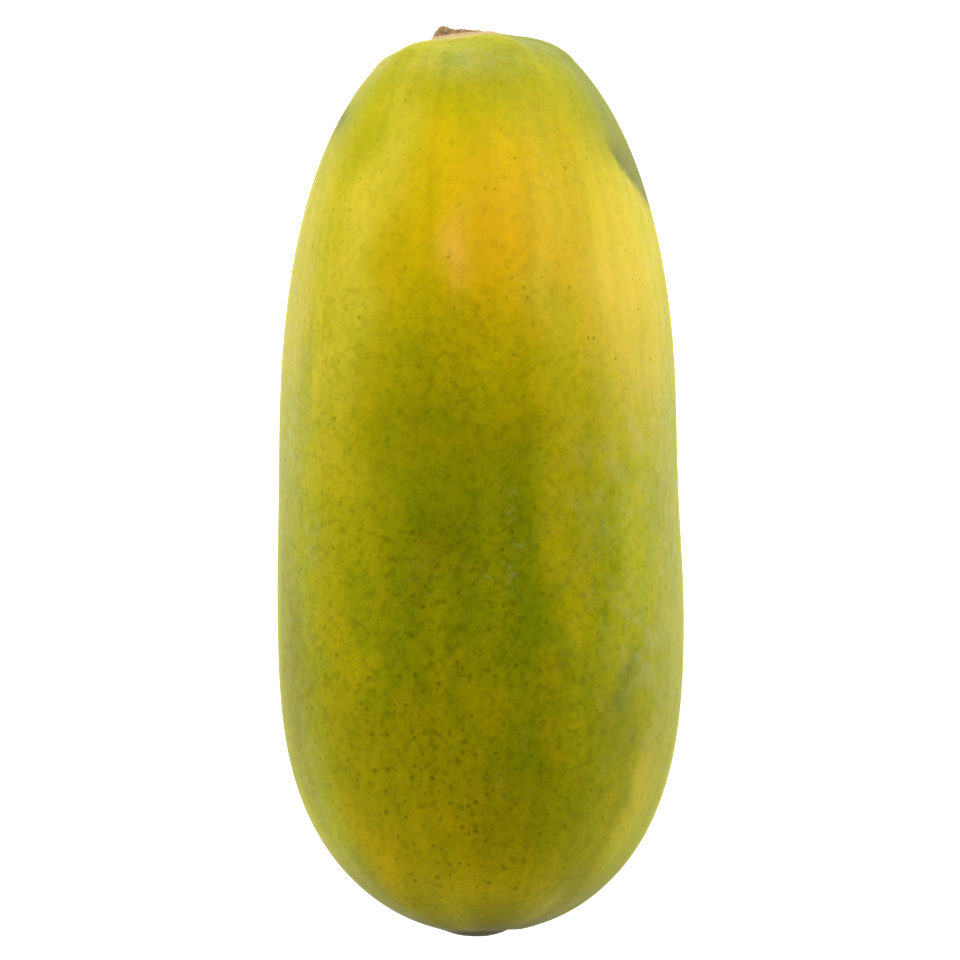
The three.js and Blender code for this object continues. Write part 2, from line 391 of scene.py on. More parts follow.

# %% [markdown]
# ## The strokes
#
# Over the bases lie strokes of a wide soft brush, in the order of this list: orange and yellow where the
# fruit ripened first, greens where it lags, painted grey-green shade along the outline of the +X shoulder,
# pale rims at the stalk, and the spots of an old knock on the flank. A painted picture wrapped round the
# fruit would do it too, but these few numbers hold all of it and stay sharp at any size.

# %% The strokes
# Paint, angle from the top in degrees (towards +X), mm along, reach in degrees and in mm, strength.
STROKES = [
    ("pear", 180, 0, 70, 150, 0.7),
    ("straw", -39, 80, 6, 20, 0.7),
    ("straw", -43, 44, 7, 30, 0.85),
    ("straw", -34, 106, 10, 20, 0.6),
    ("lemon", -51, 104, 6, 18, 0.3),
    ("lemon", -21, 70, 7, 24, 0.6),
    ("amber", 7, 76, 11, 20, 0.85),
    ("ochre", -3, 59, 10, 11, 0.7),
    ("amber", 27, 61, 9, 20, 0.85),
    ("amber", 15, 58, 8, 9, 0.4),
    ("gold", -16, 100, 6, 14, 0.4),
    ("straw", 25, 50, 5, 14, 0.5),
    ("gold", 46, 53, 6, 13, 0.4),
    ("peach", -5, 78, 4, 9, 0.7),
    ("straw", 21, 70, 5, 34, 0.3),
    ("butter", 49, 61, 17, 40, 0.9),
    ("ochre", 44, 46, 5, 9, 0.35),
    ("fern", -60, 116, 5, 12, 0.35),
    ("fern", -50, 88, 4, 14, 0.2),
    ("cap", 38, 123, 12, 9, 0.65),
    ("gold", 34, 112, 7, 12, 0.4),
    ("cap", 55, 136, 22, 8, 0.7),
    # Painted grey-green shade along the outline of the shoulder towards +X.
    ("sage", 50, 139, 22, 4, 0.8),
    ("cap", -72, 133, 10, 6, 0.8),
    ("bruise", -81, 114, 12, 5, 0.9),
    ("tan", -66, 141, 18, 4, 0.8),
    ("lime", -28, 133, 14, 4, 0.5),
    ("lime", -50, 118, 8, 10, 0.4),
    ("leaf", -8, 134, 7, 3, 0.25),
    ("mustard", -14, 42, 11, 16, 0.6),
    ("lemon", -31, 22, 7, 14, 0.7),
    ("gold", 13, 36, 6, 10, 0.35),
    ("lemon", 27, 32, 10, 30, 0.75),
    ("lemon", 30, -30, 5, 14, 0.5),
    ("leaf", -12, -6, 9, 18, 0.25),
    ("moss", -14, -19, 8, 10, 0.7),
    ("ochre", -26, -12, 5, 14, 0.4),
    ("ochre", -9, -29, 5, 9, 0.4),
    ("leaf", 10, -6, 5, 24, 0.45),
    ("lemon", 20, -9, 5, 15, 0.75),
    ("lemon", 20, -32, 5, 9, 0.35),
    ("leaf", 35, -15, 5, 10, 0.3),
    ("leaf", 13, -50, 7, 13, 0.65),
    ("leaf", 30, -50, 5, 11, 0.3),
    ("leaf", 11, -82, 8, 16, 0.7),
    ("leaf", 31, -95, 12, 14, 0.6),
    ("leaf", 40, -5, 6, 14, 0.35),
    ("mustard", 31, 12, 6, 10, 0.4),
    ("mustard", 47, -95, 9, 14, 0.6),
    ("lemon", 30, -63, 4, 7, 0.3),
    ("sage", 76, -14, 16, 40, 0.4),
    ("lemon", -22, -104, 16, 26, 0.75),
    ("gold", -42, -111, 9, 9, 0.65),
    ("lemon", 38, -124, 12, 5, 0.4),
    ("mustard", -46, -93, 6, 10, 0.4),
    ("lemon", -44, -4, 8, 90, 0.6),
    ("lemon", -38, -42, 6, 14, 0.2),
    ("olive", -65, -46, 10, 34, 0.9),
    ("fern", -76, -14, 12, 34, 0.5),
    ("mustard", -70, -40, 10, 36, 0.4),
    ("fern", 77, -90, 9, 20, 0.7),
    ("sage", 50, -56, 7, 18, 0.25),
    ("shade", 41, -70, 6, 14, 0.5),
    ("butter", 60, -84, 8, 16, 0.35),
    ("bruise", 48, -50, 3, 4, 0.5),
    ("bruise", 46, -59, 4, 5, 0.5),
    ("bruise", 50, -71, 1.5, 2, 0.5),
    ("bruise", 53, -88, 2.5, 2.5, 0.45),
]


def turn_between(angle, middle):
    """The shorter way round from middle to angle, in degrees."""
    return (angle - middle + 180) % 360 - 180


def bell(angle, along, middle, at, reach_around, reach_along):
    """1 in the middle of a stroke, falling as exp(-d^2), where d is 1 at the stroke's reach."""
    around = turn_between(angle, middle) / reach_around
    return np.exp(-(around ** 2) - ((along - at) / reach_along) ** 2)


def uneven(angle, along):
    """Angle and place shifted by slow waves, so that no stroke keeps a clean edge. The two ends stay put."""
    turn = np.radians(angle)
    inner = 1 - smooth(abs(along), 104, 126)
    moved_angle = angle + 2.2 * np.sin(along / 9 + 2 * turn) + 1.4 * np.sin(along / 4.3 - 5 * turn + 1)
    moved_along = along + inner * (4 * np.sin(5 * turn + along / 23) + 2 * np.sin(11 * turn + 2))
    return moved_angle, moved_along


print("strokes:", len(STROKES), "- one reach away, a stroke keeps", bell(6, 0, 0, 0, 6, 20).round(2))

# %% [markdown]
# ## Mixing the paints
#
# Some marks have a shape of their own: painted grey-green shade lies along the outline of the shoulder
# towards +X down to a rim, a leaf-shaped bruise lies under it, the blossom end has a dark scar in a ring
# of dark olive and painted shade, and the skin dries to tan where the stalk sat. Each is a mask between 0
# and 1, worked out for every point of the mesh. Numpy mixes bases, strokes and masks into one colour a
# point, which is fine enough for soft patches, and the shader adds what is smaller.

# %% Paint the skin
BRUISE_TOP = 105.5
BRUISE_EDGE = 61


def lay_over(colour, paint, mask):
    """Mixes one paint over the colours, as much as the mask says at each point."""
    return colour + (np.array(linear(PALETTE[paint])[:3]) - colour) * mask[:, None]


def shoulder_shade(angle, along):
    """Painted shade on the +X shoulder, full from 76 to 96 degrees and above 110 mm, fading out past those.
    """
    return smooth(angle, 42, 76) * (1 - smooth(angle, 96, 132)) * smooth(along, 98, 110)


def bruise_mask(angle, along):
    """The bruise. At d mm below its top its edge is at 61 + 0.9 d + 0.05 d^2 degrees, softer as d grows."""
    down = np.maximum(BRUISE_TOP - along, 0)
    edge = BRUISE_EDGE + 0.9 * down + 0.05 * down ** 2 + 0.7 * np.sin(0.9 * along + 0.13 * angle)
    softness = 1.2 + 0.04 * down ** 2
    far_side = 1 - smooth(angle + 6 * np.sin(along / 6), 84, 122)
    return smooth(angle, edge - softness, edge + softness) * far_side * (1 - smooth(along, 104, 113))


def paint_ends(colour, angle, along, from_axis):
    """The blossom tip's scar in a ring of dark olive and painted shade, both wavy, and the stalk's tan rim.
    """
    turn = np.radians(angle)
    from_scar = from_axis + np.sin(3 * turn) + 0.6 * np.sin(7 * turn + 1)
    # Round the scar: partly the tip's own dark olive, partly painted shade.
    colour = lay_over(colour, "tip_olive_and_shade", 0.85 * (1 - smooth(from_scar, 6, 14)) * (along < 0))
    colour = lay_over(colour, "scar", 0.95 * (1 - smooth(from_scar, 3.6, 5)) * (along < 0))
    rim = (1 - smooth(from_axis, 12.5, 18 - 5 * np.sin(turn))) * (along > 0)
    return lay_over(colour, "tan", 0.9 * rim)


def paint_skin(true_angle, true_along, from_axis):
    """The crown's base inside the flanks', then the strokes, the shoulder's painted shade, bruise and ends.
    """
    angle, along = uneven(true_angle, true_along)
    colour = base_colour(CROWN, along)
    flank = smooth(abs(angle), *CROWN_EDGE)[:, None]
    colour = colour * (1 - flank) + base_colour(FLANKS, along) * flank
    for paint, middle, at, reach_around, reach_along, strength in STROKES:
        colour = lay_over(colour, paint, strength * bell(angle, along, middle, at, reach_around, reach_along))
    # Painted grey-green shade along the outline of the shoulder towards +X.
    colour = lay_over(colour, "sage", 0.85 * shoulder_shade(true_angle, true_along))
    colour = lay_over(colour, "bruise", 0.95 * bruise_mask(true_angle, true_along))
    return paint_ends(colour, true_angle, true_along, from_axis)


flat_angle = np.degrees(np.concatenate([[0], angle_grid.ravel(), [0]]))
flat_along = skin_points[:, 1]
flat_radius = np.concatenate([[0], radius_grid.ravel(), [0]])
skin_colour = paint_skin(turn_between(flat_angle, 0), flat_along, flat_radius)
print("the skin's mean colour, linear:", skin_colour.mean(axis=0).round(3))

# %% [markdown]
# ## Where the fine marks lie
#
# Pores, mottling, bloom, painted sheen and scuffs cover the fruit, but not evenly: dark pores crowd on the
# ripe lower half, mottling on the green middle, bloom lies in dusty patches and near the outline of the
# flanks also stands for painted sheen, a pale painted sheen covers both flanks, and scuffs are few. Noise
# alone would spread them evenly. So each mark gets a strength for every point, from the same bells as the
# strokes, and the shader multiplies its pattern by it.

# %% Strengths of the marks
# For each mark, its ground level and its bells: angle in degrees, mm along, reach in both, and strength.
MARKS = {
    "pores": (0.2, [(-14, -80, 34, 46, 0.9), (-6, -20, 34, 40, 0.45), (0, -115, 60, 22, 0.3),
                    (170, -60, 60, 60, 0.4), (-6, 131, 26, 6, 0.35), (56, 62, 24, 44, -0.1)]),
    "mottles": (0.3, [(-10, -40, 40, 64, 0.6), (30, -30, 40, 64, 0.3), (190, 0, 80, 90, 0.4),
                      (-58, -30, 18, 80, 0.25), (-8, 131, 24, 6, 0.3), (-8, 42, 36, 24, 0.3),
                      (30, -90, 22, 26, 0.35), (56, 62, 24, 44, -0.18)]),
    # Bloom: dusty pale patches, which near the outline of the flanks are painted sheen.
    "bloom_and_painted_sheen": (0, [(54, 14, 14, 30, 0.35), (30, -4, 8, 26, 0.2), (54, -42, 10, 16, 0.5),
                  (-70, 40, 12, 50, 0.6), (-62, -50, 12, 50, 0.2), (-66, -82, 9, 18, 0.4),
                  (-52, -12, 5, 12, 0.4), (44, -16, 12, 60, 0.2), (66, -60, 12, 26, 0.4),
                  (24, 120, 16, 10, 0.1), (-8, 134, 26, 4, 0.3), (-66, -112, 12, 8, 0.5),
                  (40, -122, 12, 6, 0.3)]),
    # Painted sheen: a pale grain, strongest over both flanks.
    "painted_wax_sheen": (0, [(-78, 20, 18, 110, 0.9), (76, 20, 18, 110, 0.9), (180, 0, 60, 120, 0.5),
                 (-5, 134, 40, 6, 0.5), (24, 92, 24, 26, 0.2)]),
    "scuffs": (0, [(10, -8, 5, 14, 1.0), (-17, -24, 6, 4, 0.8), (5, -26, 6, 5, 0.8),
                   (10, -80, 6, 8, 0.6), (-10, 131, 26, 5, 0.4), (60, -40, 30, 50, 0.3)]),
}


def sum_of_bells(angle, along, ground, bells):
    """The ground level plus the bells, held between 0 and 1."""
    total = np.full_like(angle, ground)
    for middle, at, reach_around, reach_along, strength in bells:
        total = total + strength * bell(angle, along, middle, at, reach_around, reach_along)
    return np.clip(total, 0, 1)


strengths = {mark: sum_of_bells(flat_angle, flat_along, *levels) for mark, levels in MARKS.items()}
print("mean strengths:", {mark: round(float(values.mean()), 2) for mark, values in strengths.items()})

# %% [markdown]
# ## Lines along the skin
#
# Streaks and clouds are drawn out from the stalk to the blossom end, because the skin stretched that way as
# it grew. Noise on plain coordinates knows nothing of that. So each point also gets its place on a straight
# tube, whose length is counted in radii of the belly, and noise read there follows the fruit's own lines.

# %% Places on the straight tube
TUBE_CLOSES = 28
turn = np.radians(flat_angle)
# The tube closes like a cone within 28 mm of the axis, so that the lines meet at both ends without a seam.
spread = np.minimum(1, flat_radius / TUBE_CLOSES)
meridian = np.stack([spread * np.sin(turn), spread * np.cos(turn), flat_along / BELLY_RADIUS], axis=1)
print("the tube is", round(float(np.ptp(meridian[:, 2])), 2), "belly radii long")

# %% [markdown]
# ## Marks that the shader draws
#
# What is smaller than the mesh's own points is drawn by shader patterns: noise for clouds and dust, and cells
# for dots, which Blender calls Voronoi. A photograph would bring its own light along, while patterns take the
# light of any scene. Each is laid over the colour by one helper, as a paint with a pattern as its mask. A
# pattern's scale counts its cells in a metre, so it is worked out from the size of the real mark.

# %% Scales and marks
def per_metre(size):
    """The scale of a pattern on metres whose cells are that many millimetres wide: one over the size."""
    return 1 / (size * MM)


def add_mark(tree, colour, paint, pattern, limits, most, strength):
    """Mixes a paint over the colour where a pattern passes its limits, up to most times the strength."""
    low, high = limits
    share = add_node(tree, "ShaderNodeMapRange", {"From Min": low, "From Max": high, "To Max": most},
                     {"Value": pattern}, interpolation_type="SMOOTHSTEP")
    mask = add_node(tree, "ShaderNodeMath", None, {0: share.outputs["Result"], 1: strength},
                    operation="MULTIPLY", use_clamp=True)
    return add_node(tree, "ShaderNodeMix", {"B": linear(paint)},
                    {"Factor": mask.outputs["Value"], "A": colour}, data_type="RGBA").outputs[2]


print("a pattern with cells of 2 mm has", round(per_metre(2)), "of them in a metre")

# %% [markdown]
# ## Clouds and streaks
#
# Ripeness also changes within a centimetre, too finely for the brush, and the skin shows faint lines where it
# stretched. Two noises on the straight tube draw that. The clouds multiply the paint by a greener or a
# yellower tint, so that they work on every colour under them, and the streaks make it a little lighter.

# %% Clouds and streaks
# On the tube, a scale of 1 is one belly radius, 62 mm. Across, along: clouds 10 by 16 mm with finer ones in
# them, and streaks 8 mm wide and ten times as long.
CLOUD_STRETCH = (6, 6, 3.8)
STREAK_STRETCH = (8, 8, 0.8)
GREENER = (0.8, 0.93, 0.4, 1)
YELLOWER = (1.18, 1.08, 1.4, 1)


def add_clouds(tree, colour, lines, strength):
    """Clouds that multiply the colour by a greener and a yellower tint by turns, and faint light streaks."""
    drawn_out = add_node(tree, "ShaderNodeMapping", {"Scale": CLOUD_STRETCH}, {"Vector": lines})
    cloud = add_node(tree, "ShaderNodeTexNoise", {"Scale": 1.0, "Detail": 5, "Roughness": 0.66,
                     "Distortion": 0.6}, {"Vector": drawn_out.outputs["Vector"]})
    turn_yellow = add_node(tree, "ShaderNodeMapRange", {"From Min": 0.32, "From Max": 0.68},
                           {"Value": cloud.outputs["Fac"]}, interpolation_type="SMOOTHSTEP")
    tint = add_node(tree, "ShaderNodeMix", {"A": GREENER, "B": YELLOWER},
                    {"Factor": turn_yellow.outputs["Result"]}, data_type="RGBA").outputs[2]
    tinted = add_node(tree, "ShaderNodeVectorMath", None, {0: colour, 1: tint}, operation="MULTIPLY")
    clouded = add_node(tree, "ShaderNodeMix", None,
                       {"Factor": strength, "A": colour, "B": tinted.outputs["Vector"]},
                       data_type="RGBA").outputs[2]
    stretched = add_node(tree, "ShaderNodeMapping", {"Scale": STREAK_STRETCH}, {"Vector": lines})
    streak = add_node(tree, "ShaderNodeTexNoise", {"Scale": 1.0, "Detail": 2, "Roughness": 0.5,
                      "Distortion": 0.4}, {"Vector": stretched.outputs["Vector"]})
    light = add_node(tree, "ShaderNodeMapRange", {"From Min": 0.3, "From Max": 0.7, "To Min": 0.94,
                     "To Max": 1.05}, {"Value": streak.outputs["Fac"]})
    return add_node(tree, "ShaderNodeVectorMath", None, {0: clouded, 1: light.outputs["Result"]},
                    operation="MULTIPLY").outputs["Vector"]


print("clouds are", [round(BELLY_RADIUS / stretch) for stretch in CLOUD_STRETCH], "mm wide, deep and long")

# %% [markdown]
# ## Pores and specks
#
# A papaya's pores are small corky dots that darken as it ripens, and here and there one is nearly black.
# Dots could be modelled one by one, but thousands of them are cheaper as a pattern. Voronoi knows how far the
# nearest of its scattered points is, so a small distance is a dot, and each cell's own random number decides
# whether it has one.

# %% Pores and specks
# Millimetres between dots, the dot's edge as a share of its cell, how much it crowds, and its strength.
PORES = [(1.923, 0.34, 0.7, 0.5), (2.703, 0.34, 1.0, 0.6), (3.846, 0.36, 1.0, 0.6)]
LONE_PORES = 0.2
# A fine ripple 1.4 mm wide pushes the dots' edges by up to 1.2 mm, so that none is a perfect circle.
RIPPLE_SIZE = 1.429
RIPPLE_PUSH = 1.2 * MM


def add_pores(tree, colour, place, strength):
    """Three sizes of soft round dots, 0.6 to 1.6 mm across. The larger ones lie only where pores crowd."""
    ripple = add_node(tree, "ShaderNodeTexNoise", {"Scale": per_metre(RIPPLE_SIZE), "Detail": 2,
                      "Roughness": 0.5}, {"Vector": place})
    shaken = add_node(tree, "ShaderNodeVectorMath", {1: (RIPPLE_PUSH, RIPPLE_PUSH, RIPPLE_PUSH)},
                      {0: ripple.outputs["Color"], 2: place}, operation="MULTIPLY_ADD").outputs["Vector"]
    for apart, edge, crowding, most in PORES:
        cells = add_node(tree, "ShaderNodeTexVoronoi", {"Scale": per_metre(apart)}, {"Vector": shaken})
        lot = add_node(tree, "ShaderNodeSeparateColor", None, {"Color": cells.outputs["Color"]})
        ground = add_node(tree, "ShaderNodeMath", {1: crowding, 2: LONE_PORES * (1 - crowding)},
                          {0: strength}, operation="MULTIPLY_ADD")
        chance = add_node(tree, "ShaderNodeMath", None,
                          {0: lot.outputs["Red"], 1: ground.outputs["Value"]}, operation="MULTIPLY")
        colour = add_mark(tree, colour, "#454200", cells.outputs["Distance"], (edge, 0.06), most,
                          chance.outputs["Value"])
    return colour


# Cells 3 mm wide, of which about one in five has a speck.
SPECK_CELL = 3.03


def add_specks(tree, colour, place):
    """A few distinct dark dots, 0.7 mm across and about 12 mm apart. They lie everywhere, ripe or not."""
    cells = add_node(tree, "ShaderNodeTexVoronoi", {"Scale": per_metre(SPECK_CELL)}, {"Vector": place})
    lot = add_node(tree, "ShaderNodeSeparateColor", None, {"Color": cells.outputs["Color"]})
    chosen = add_node(tree, "ShaderNodeMapRange", {"From Min": 0.72, "From Max": 0.9},
                      {"Value": lot.outputs["Green"]})
    return add_mark(tree, colour, "#5c6200", cells.outputs["Distance"], (0.27, 0.03), 0.55,
                    chosen.outputs["Result"])


print("cells in a metre: pores", [round(per_metre(apart)) for apart, *_ in PORES], "and specks",
      round(per_metre(SPECK_CELL)))

# %% [markdown]
# ## Scuffs
#
# Where the fruit rubbed on another, its milky latex dried in thin pale curls. Curves could be drawn on the
# skin, but the borders between Voronoi cells are thin lines already: noise bends them into curls, and the
# dust's noise breaks them up.

# %% Scuffs
# A swirl 6 mm wide moves the edges of cells 3 mm wide by up to 6 mm, which bends them into curls.
SWIRL_SIZE = 6.25
SWIRL_PUSH = 6 * MM
CURL_SIZE = 3.333


def add_scuffs(tree, colour, place, dust, strength):
    """Thin pale curls, where dried latex was rubbed along the skin: the edges of bent cells, broken up."""
    swirl = add_node(tree, "ShaderNodeTexNoise", {"Scale": per_metre(SWIRL_SIZE), "Detail": 3,
                     "Roughness": 0.6}, {"Vector": place})
    curled = add_node(tree, "ShaderNodeVectorMath", {1: (SWIRL_PUSH, SWIRL_PUSH, SWIRL_PUSH)},
                      {0: swirl.outputs["Color"], 2: place}, operation="MULTIPLY_ADD").outputs["Vector"]
    web = add_node(tree, "ShaderNodeTexVoronoi", {"Scale": per_metre(CURL_SIZE)}, {"Vector": curled},
                   feature="DISTANCE_TO_EDGE")
    broken = add_node(tree, "ShaderNodeMapRange", {"From Min": 0.5, "From Max": 0.62}, {"Value": dust})
    here = add_node(tree, "ShaderNodeMath", None, {0: broken.outputs["Result"], 1: strength},
                    operation="MULTIPLY")
    return add_mark(tree, colour, "#b1b260", web.outputs["Distance"], (0.09, 0.01), 0.55,
                    here.outputs["Value"])


print("curls are bent by up to", round(SWIRL_PUSH / MM), "mm")

# %% [markdown]
# ## The skin's material
#
# The skin is alive: a thin waxed layer over green and orange flesh. Scattered light under the surface would
# show it too, but the skin is nearly opaque, so a plain shader with middling roughness does. The colour of a
# point is the painted one, shifted by clouds and streaks, darkened by mottling, pores and specks, and paled
# where dusty bloom, painted sheen on the flanks and scuffs lie. The shader's gloss and sheen are the same
# all over, so they are set on its own sockets, and only the roughness varies, with the dust.

# %% The skin
# How wide the largest grains of each pattern are, in mm; finer ones lie in them. Real pits are under half a
# millimetre wide and too fine to show, so they are drawn coarser.
MOTTLE_SIZE = 2.778
PAINTED_SHEEN_GRAIN = 3.03
DUST_SIZE = 7.692
PIT_SIZE = 1.111
PIT_DEPTH = 0.2 * MM


def mark_skin(tree, place, dust):
    """The painted colour with every mark laid over it, dark ones first."""
    colour = add_node(tree, "ShaderNodeAttribute", attribute_name="paint").outputs["Color"]
    lines = add_node(tree, "ShaderNodeAttribute", attribute_name="meridian").outputs["Vector"]
    pores, mottles, bloom_and_painted_sheen, painted_wax_sheen, scuffs = [
        add_node(tree, "ShaderNodeAttribute", attribute_name=mark).outputs["Fac"] for mark in MARKS]
    colour = add_clouds(tree, colour, lines, mottles)
    mottle = add_node(tree, "ShaderNodeTexNoise", {"Scale": per_metre(MOTTLE_SIZE), "Detail": 4,
                      "Roughness": 0.68, "Distortion": 0.2}, {"Vector": place}).outputs["Fac"]
    colour = add_mark(tree, colour, "#535a00", mottle, (0.42, 0.74), 0.5, mottles)
    colour = add_pores(tree, colour, place, pores)
    colour = add_specks(tree, colour, place)
    # Dusty bloom, which near the outline of the flanks is painted sheen.
    colour = add_mark(tree, colour, "#bdbf91", dust, (0.38, 0.75), 0.6, bloom_and_painted_sheen)
    # Painted sheen: a pale grain over both flanks.
    grain = add_node(tree, "ShaderNodeTexNoise", {"Scale": per_metre(PAINTED_SHEEN_GRAIN), "Detail": 4,
                     "Roughness": 0.7}, {"Vector": place}).outputs["Fac"]
    colour = add_mark(tree, colour, "#f2f0e0", grain, (0.15, 0.85), 0.2, painted_wax_sheen)
    return add_scuffs(tree, colour, place, dust, scuffs)


def make_skin():
    """Waxed papaya skin, as it grew: to the eye it is satin, with soft wide highlights and no mirror."""
    material = bpy.data.materials.new("waxed_papaya_skin")
    material.use_nodes = True
    tree = material.node_tree
    tree.nodes.clear()
    place = add_node(tree, "ShaderNodeTexCoord").outputs["Object"]
    dust = add_node(tree, "ShaderNodeTexNoise", {"Scale": per_metre(DUST_SIZE), "Detail": 6,
                    "Roughness": 0.7}, {"Vector": place}).outputs["Fac"]
    colour = mark_skin(tree, place, dust)
    roughness = add_node(tree, "ShaderNodeMapRange", {"From Min": 0.3, "From Max": 0.7, "To Min": 0.42,
                         "To Max": 0.6}, {"Value": dust}).outputs["Result"]
    pits = add_node(tree, "ShaderNodeTexNoise", {"Scale": per_metre(PIT_SIZE), "Detail": 4,
                    "Roughness": 0.6}, {"Vector": place}).outputs["Fac"]
    bump = add_node(tree, "ShaderNodeBump", {"Strength": 0.25, "Distance": PIT_DEPTH}, {"Height": pits})
    # The IOR is that of wax. The wax is dusty, which takes away most of its clear gloss.
    shader = add_node(tree, "ShaderNodeBsdfPrincipled", {"IOR": 1.42, "Specular IOR Level": 0.03,
                      "Sheen Weight": 0.03, "Sheen Roughness": 0.3},
                      {"Base Color": colour, "Roughness": roughness, "Normal": bump.outputs["Normal"]})
    add_node(tree, "ShaderNodeOutputMaterial", None, {"Surface": shader.outputs["BSDF"]})
    return material


skin = make_skin()
print("the skin's material has", len(skin.node_tree.nodes), "nodes")

# %% [markdown]
# ## The skin in its place
#
# The real skin is one closed surface, so its points, faces, colours and marks go into one mesh. A picture
# could hold the colours too, but values at the points need no seam. The mesh takes the place of the solid
# model's fruit, which is plain and has flat facets, and moves with the same body.

# %% The skin as a mesh
paint = np.hstack([skin_colour, np.ones((len(skin_colour), 1))])
fruit = add_mesh("papaya_skin", skin_points * MM, closed_faces(len(ring_radius), AROUND), skin,
                 paint=paint, **strengths, meridian=meridian)
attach(fruit, "root")
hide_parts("fruit")

# %% [markdown]
# ## The stub of the stalk
#
# The stalk tore off and left a low woody stub: a tan collar, a brown rim of torn fibres that is higher on one
# side, one splinter and a hollow of dried pith. It could be cut from a cylinder, but it is a turned profile
# too, with its height changed round the rim, so the same way as the fruit's does it.

# %% The stub's profile
# Millimetres, in the stub's own frame: each corner of the profile is a radius and a height.
STUB_CORNERS = np.array([(6, 0), (11.9, 0), (12, 0.5), (11.6, 1), (11, 1.3), (10.2, 1.7), (9.8, 2.2),
                         (9.5, 2.6), (9.1, 2.7), (8.6, 2.5), (7.9, 2.1), (7.2, 1.6), (5.4, 1.35),
                         (3.6, 1.2), (0.2, 1.2)])
STUB_RINGS = 70


def stub_profile():
    """Radius and height of each ring, at even steps along the line through the corners."""
    length = np.concatenate([[0], np.cumsum(np.hypot(*np.diff(STUB_CORNERS, axis=0).T))])
    even = np.linspace(0, length[-1], STUB_RINGS)
    return np.interp(even, length, STUB_CORNERS[:, 0]), np.interp(even, length, STUB_CORNERS[:, 1])


stub_radius, stub_height = stub_profile()
print("the stub, mm: foot", round(2 * stub_radius.max(), 1), "wide, rim", round(stub_height.max(), 1), "high")

# %% [markdown]
# ## The torn top
#
# Tearing left one long splinter, broad teeth and fine fibres round the rim, and the pith in the hollow dried
# into lumps and wrinkles. Noise could roughen it, but fibres have a direction. So each is a sum of waves
# round the rim or across the hollow, and waves inside waves keep them from repeating evenly.

# %% The stub's torn top
STUB_AROUND = 240
# The tear is full at the rim's height and outside the pith, and fades out down to the neck.
NECK_HEIGHT = 1.7
RIM_HEIGHT = 2.6
RIM_SLOPE = 0.11
SPLINTER_HEIGHT = 1.3
SPLINTER_ANGLE = math.radians(-40)
SPLINTER_SPREAD = 0.4
# The pith fades out between the two radii of its edge. Below the last height is the foot, which has none.
PITH_RADIUS = 7.2
PITH_HEIGHT = 0.25
PITH_EDGE = (6.5, 9.2)
PITH_ABOVE = 1.1


def torn_height(angle, radius):
    """How much the torn top rises: a bell curve for the splinter, sines for tears and fibres, and a slope."""
    turn = np.angle(np.exp(1j * (angle - SPLINTER_ANGLE)))
    splinter = SPLINTER_HEIGHT * np.exp(-((turn / SPLINTER_SPREAD) ** 2))
    tears = 0.25 * (np.sin(5 * angle + 0.7) + 0.6 * np.sin(9 * angle + 2.2))
    fibres = 0.1 * np.sin(23 * angle + 3 * np.sin(5 * angle + 1)) * np.sin(7 * angle + 2 * np.sin(3 * angle))
    fibres = fibres + 0.05 * np.sin(61 * angle + 4 * np.sin(4 * angle) + radius)
    return splinter + tears + fibres - RIM_SLOPE * radius * np.sin(angle)


def pith_height(angle, radius):
    """Dried pith in the hollow: bent waves across it and wrinkles out of its middle, fading at the rim."""
    x, z = radius * np.sin(angle), radius * np.cos(angle)
    lumps = 0.34 * np.sin(0.9 * x + 1.3 * np.sin(0.7 * z + 1))
    lumps = lumps + 0.26 * np.sin(1.5 * z + 1.7 * np.sin(0.8 * x))
    grains = 0.1 * np.sin(3.7 * x + 2 * np.sin(2.3 * z)) * np.sin(4.1 * z + 2 * np.sin(1.9 * x))
    wrinkles = 0.2 * np.sin(13 * angle + 2 * np.sin(3 * angle)) * smooth(radius, 1, 5)
    return (PITH_HEIGHT + lumps + grains + wrinkles) * (1 - smooth(radius, *PITH_EDGE))


def stub_points():
    """The stub in its own frame: its profile turned about Y, torn on top, with pith and faint flutes."""
    angle = np.arange(STUB_AROUND) / STUB_AROUND * 2 * np.pi
    angle, radius = np.meshgrid(angle, stub_radius)
    height = np.repeat(stub_height[:, None], STUB_AROUND, axis=1)
    torn = smooth(height, NECK_HEIGHT, RIM_HEIGHT) * smooth(radius, 0, PITH_RADIUS)
    height = height + torn * torn_height(angle, radius) + pith_height(angle, radius) * (height > PITH_ABOVE)
    fluted = radius * (1 - 0.03 * torn * (1 - np.cos(LOBES * (angle - LOBE_ANGLE))))
    ends = np.array([[0, 0, 0], [0, height[-1].mean(), 0]])
    rings = np.stack([fluted * np.sin(angle), height, fluted * np.cos(angle)], axis=-1).reshape(-1, 3)
    return np.vstack([ends[:1], rings, ends[1:]])


own_points = stub_points()
print("the stub is", round(float(np.ptp(own_points[:, 1])), 1), "mm high, splinter and all")

# %% [markdown]
# ## Where the stub sits and where its fibres run
#
# The stub leans as the stalk did, stands in its seat with a hair's gap, and is laid on the table with the
# fruit. Wood shows which way its fibres run: up the outside, and out of the middle on the torn top. So each
# point gets a place along and across those lines, and a number for how torn it is, which decides its brown.

# %% Seat and fibres
JOINT_GAP = 0.3
# On a circle of radius 6 lie 38 of the widest fibres, each 2 mm on the stub's outside and 3 mm long.
FIBRES_ROUND = 6
FIBRES_ALONG = 0.35


def seat_stub(own):
    """Leans the stub about Z, moves it to its seat and lays it with the fruit. In mm."""
    leaned_x = own[:, 0] * math.cos(STALK_LEAN) - own[:, 1] * math.sin(STALK_LEAN) + STALK_SHIFT
    leaned_y = own[:, 0] * math.sin(STALK_LEAN) + own[:, 1] * math.cos(STALK_LEAN)
    return lay(np.stack([leaned_x, leaned_y + SEAT_FLOOR_AT + JOINT_GAP, own[:, 2]], axis=-1))


